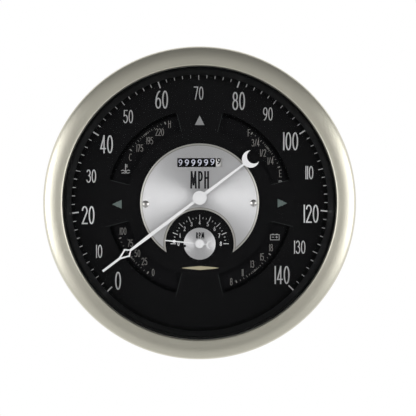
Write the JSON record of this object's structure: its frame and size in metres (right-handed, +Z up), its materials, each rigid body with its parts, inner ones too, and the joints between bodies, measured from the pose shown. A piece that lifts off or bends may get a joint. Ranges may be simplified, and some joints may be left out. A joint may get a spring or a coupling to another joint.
{
  "type": "combination gauge",
  "caption": "Round dashboard instrument with a speed dial, a small rev counter, a drum counter and windows for four minor gauges, behind a flat lens in a domed metal bezel",
  "frame": {"origin": "on the barrel's axis, in the plane of the panel's face, where the rubber gasket bears on it", "axes": "+Y runs back along the barrel's axis into the panel, the dial looks along -Y, +Z is up on the dial"},
  "size_m": [0.178, 0.0788, 0.178],
  "materials": {
    "bezel": "satin spun stainless steel",
    "rubber": "matt black rubber",
    "lens": "clear float glass with ground edges",
    "case_metal": "drawn steel, zinc plated",
    "visor": "satin black paint",
    "dial": "matt black paint",
    "lower_dial": "matt black, printed",
    "plate": "spun and lacquered",
    "screw": "bright plated steel",
    "black_metal": "black",
    "indicator": "smoked translucent acrylic",
    "lamp": "clear moulded lamps",
    "pointer": "matt white paint",
    "cap": "white, satin",
    "magnet": "sintered magnet on a ground steel spindle",
    "can": "drawn shielding can",
    "counter_metal": "zinc plated pressings",
    "drum_black": "black acetal, printed figures",
    "drum_white": "white acetal, printed figures",
    "acetal": "natural acetal",
    "brass": "cut brass",
    "light_box": "white moulding",
    "board": "green lacquered board",
    "black_plastic": "black moulding",
    "bulb": "clear glass bulb"
  },
  "bodies": {
    "gauge": {"bezel": "bezel", "panel_gasket": "rubber", "lens": "lens", "lens_seal": "rubber", "case_shell": "case_metal", "visor_ring": "visor", "dial_plate": "dial", "lower_dial": "lower_dial", "centre_plate": "plate", "dial_screws": "screw", "rev_disc": "plate", "rev_stop_pin": "black_metal", "indicator_lenses": "indicator", "indicator_lamps": "lamp", "speed_movement": "can", "rev_movement": "can", "temp_movement": "can", "fuel_movement": "can", "oil_movement": "can", "volt_movement": "can", "counter_frame": "counter_metal", "drum_shaft": "counter_metal", "transfer_plates": "counter_metal", "counter_motor": "can", "movement_carrier": "light_box", "circuit_board": "board", "case_studs": "screw", "stud_nuts": "screw", "lamp_holders": "black_plastic", "lamp_bulbs": "bulb", "terminal_block": "black_plastic", "terminal_blades": "brass"},
    "speed": {"speed_pointer": "pointer", "speed_cap": "cap", "speed_rotor": "magnet"},
    "rev": {"rev_pointer": "pointer", "rev_cap": "cap", "rev_rotor": "magnet"},
    "temp": {"temp_pointer": "pointer", "temp_rotor": "magnet"},
    "fuel": {"fuel_pointer": "pointer", "fuel_rotor": "magnet"},
    "oil": {"oil_pointer": "pointer", "oil_rotor": "magnet"},
    "volt": {"volt_pointer": "pointer", "volt_rotor": "magnet"},
    "drum_1": {"drum_1": "drum_black"},
    "drum_2": {"drum_2": "drum_black"},
    "drum_3": {"drum_3": "drum_black"},
    "drum_4": {"drum_4": "drum_black"},
    "drum_5": {"drum_5": "drum_black"},
    "drum_6": {"drum_6": "drum_black"},
    "drum_7": {"drum_7": "drum_white"},
    "pinion_1": {"pinion_1": "acetal"},
    "pinion_2": {"pinion_2": "acetal"},
    "pinion_3": {"pinion_3": "acetal"},
    "pinion_4": {"pinion_4": "acetal"},
    "pinion_5": {"pinion_5": "acetal"},
    "pinion_6": {"pinion_6": "acetal"},
    "motor_pinion": {"motor_pinion": "brass"}
  },
  "joints": [
    {"name": "speed_turn", "type": "hinge", "parent": "gauge", "child": "speed", "pos_m": [0, 0, 0.0029], "axis": [0, 1, 0], "range_deg": [-8.2, 261.8]},
    {"name": "rev_turn", "type": "hinge", "parent": "gauge", "child": "rev", "pos_m": [0, 0, -0.02335], "axis": [0, 1, 0], "range_deg": [-5.5, 174.5]},
    {"name": "temp_turn", "type": "hinge", "parent": "gauge", "child": "temp", "pos_m": [-0.0155, 0, 0.0115], "axis": [0, 1, 0], "range_deg": [0, 94.3]},
    {"name": "fuel_turn", "type": "hinge", "parent": "gauge", "child": "fuel", "pos_m": [0.0155, 0, 0.0115], "axis": [0, -1, 0], "range_deg": [0, 73.5]},
    {"name": "oil_turn", "type": "hinge", "parent": "gauge", "child": "oil", "pos_m": [-0.0155, 0, -0.0095], "axis": [0, 1, 0], "range_deg": [0, 89.4]},
    {"name": "volt_turn", "type": "hinge", "parent": "gauge", "child": "volt", "pos_m": [0.0155, 0, -0.0095], "axis": [0, -1, 0], "range_deg": [0, 71.2]},
    {"name": "drum_1_turn", "type": "hinge", "parent": "gauge", "child": "drum_1", "pos_m": [0, 0.0166, 0.023], "axis": [-1, 0, 0], "continuous": true},
    {"name": "drum_2_turn", "type": "hinge", "parent": "gauge", "child": "drum_2", "pos_m": [0, 0.0166, 0.023], "axis": [-1, 0, 0], "continuous": true},
    {"name": "drum_3_turn", "type": "hinge", "parent": "gauge", "child": "drum_3", "pos_m": [0, 0.0166, 0.023], "axis": [-1, 0, 0], "continuous": true},
    {"name": "drum_4_turn", "type": "hinge", "parent": "gauge", "child": "drum_4", "pos_m": [0, 0.0166, 0.023], "axis": [-1, 0, 0], "continuous": true},
    {"name": "drum_5_turn", "type": "hinge", "parent": "gauge", "child": "drum_5", "pos_m": [0, 0.0166, 0.023], "axis": [-1, 0, 0], "continuous": true},
    {"name": "drum_6_turn", "type": "hinge", "parent": "gauge", "child": "drum_6", "pos_m": [0, 0.0166, 0.023], "axis": [-1, 0, 0], "continuous": true},
    {"name": "drum_7_turn", "type": "hinge", "parent": "gauge", "child": "drum_7", "pos_m": [0, 0.0166, 0.023], "axis": [-1, 0, 0], "continuous": true},
    {"name": "pinion_1_turn", "type": "hinge", "parent": "gauge", "child": "pinion_1", "pos_m": [0, 0.02129, 0.023], "axis": [-1, 0, 0], "continuous": true},
    {"name": "pinion_2_turn", "type": "hinge", "parent": "gauge", "child": "pinion_2", "pos_m": [0, 0.02129, 0.023], "axis": [-1, 0, 0], "continuous": true},
    {"name": "pinion_3_turn", "type": "hinge", "parent": "gauge", "child": "pinion_3", "pos_m": [0, 0.02129, 0.023], "axis": [-1, 0, 0], "continuous": true},
    {"name": "pinion_4_turn", "type": "hinge", "parent": "gauge", "child": "pinion_4", "pos_m": [0, 0.02129, 0.023], "axis": [-1, 0, 0], "continuous": true},
    {"name": "pinion_5_turn", "type": "hinge", "parent": "gauge", "child": "pinion_5", "pos_m": [0, 0.02129, 0.023], "axis": [-1, 0, 0], "continuous": true},
    {"name": "pinion_6_turn", "type": "hinge", "parent": "gauge", "child": "pinion_6", "pos_m": [0, 0.02129, 0.023], "axis": [-1, 0, 0], "continuous": true},
    {"name": "motor_turn", "type": "hinge", "parent": "gauge", "child": "motor_pinion", "pos_m": [0, 0.02182, 0.03045], "axis": [-1, 0, 0], "continuous": true}
  ],
  "couplings": [
    {"joint": "drum_1_turn", "follows": "drum_7_turn", "ratio": 0.000001},
    {"joint": "drum_2_turn", "follows": "drum_7_turn", "ratio": 0.00001},
    {"joint": "drum_3_turn", "follows": "drum_7_turn", "ratio": 0.0001},
    {"joint": "drum_4_turn", "follows": "drum_7_turn", "ratio": 0.001},
    {"joint": "drum_5_turn", "follows": "drum_7_turn", "ratio": 0.01},
    {"joint": "drum_6_turn", "follows": "drum_7_turn", "ratio": 0.1},
    {"joint": "pinion_1_turn", "follows": "drum_7_turn", "ratio": 0.0000033333},
    {"joint": "pinion_2_turn", "follows": "drum_7_turn", "ratio": 0.000033333},
    {"joint": "pinion_3_turn", "follows": "drum_7_turn", "ratio": 0.00033333},
    {"joint": "pinion_4_turn", "follows": "drum_7_turn", "ratio": 0.0033333},
    {"joint": "pinion_5_turn", "follows": "drum_7_turn", "ratio": 0.033333},
    {"joint": "pinion_6_turn", "follows": "drum_7_turn", "ratio": 0.33333},
    {"joint": "motor_turn", "follows": "drum_7_turn", "ratio": -3}
  ]
}
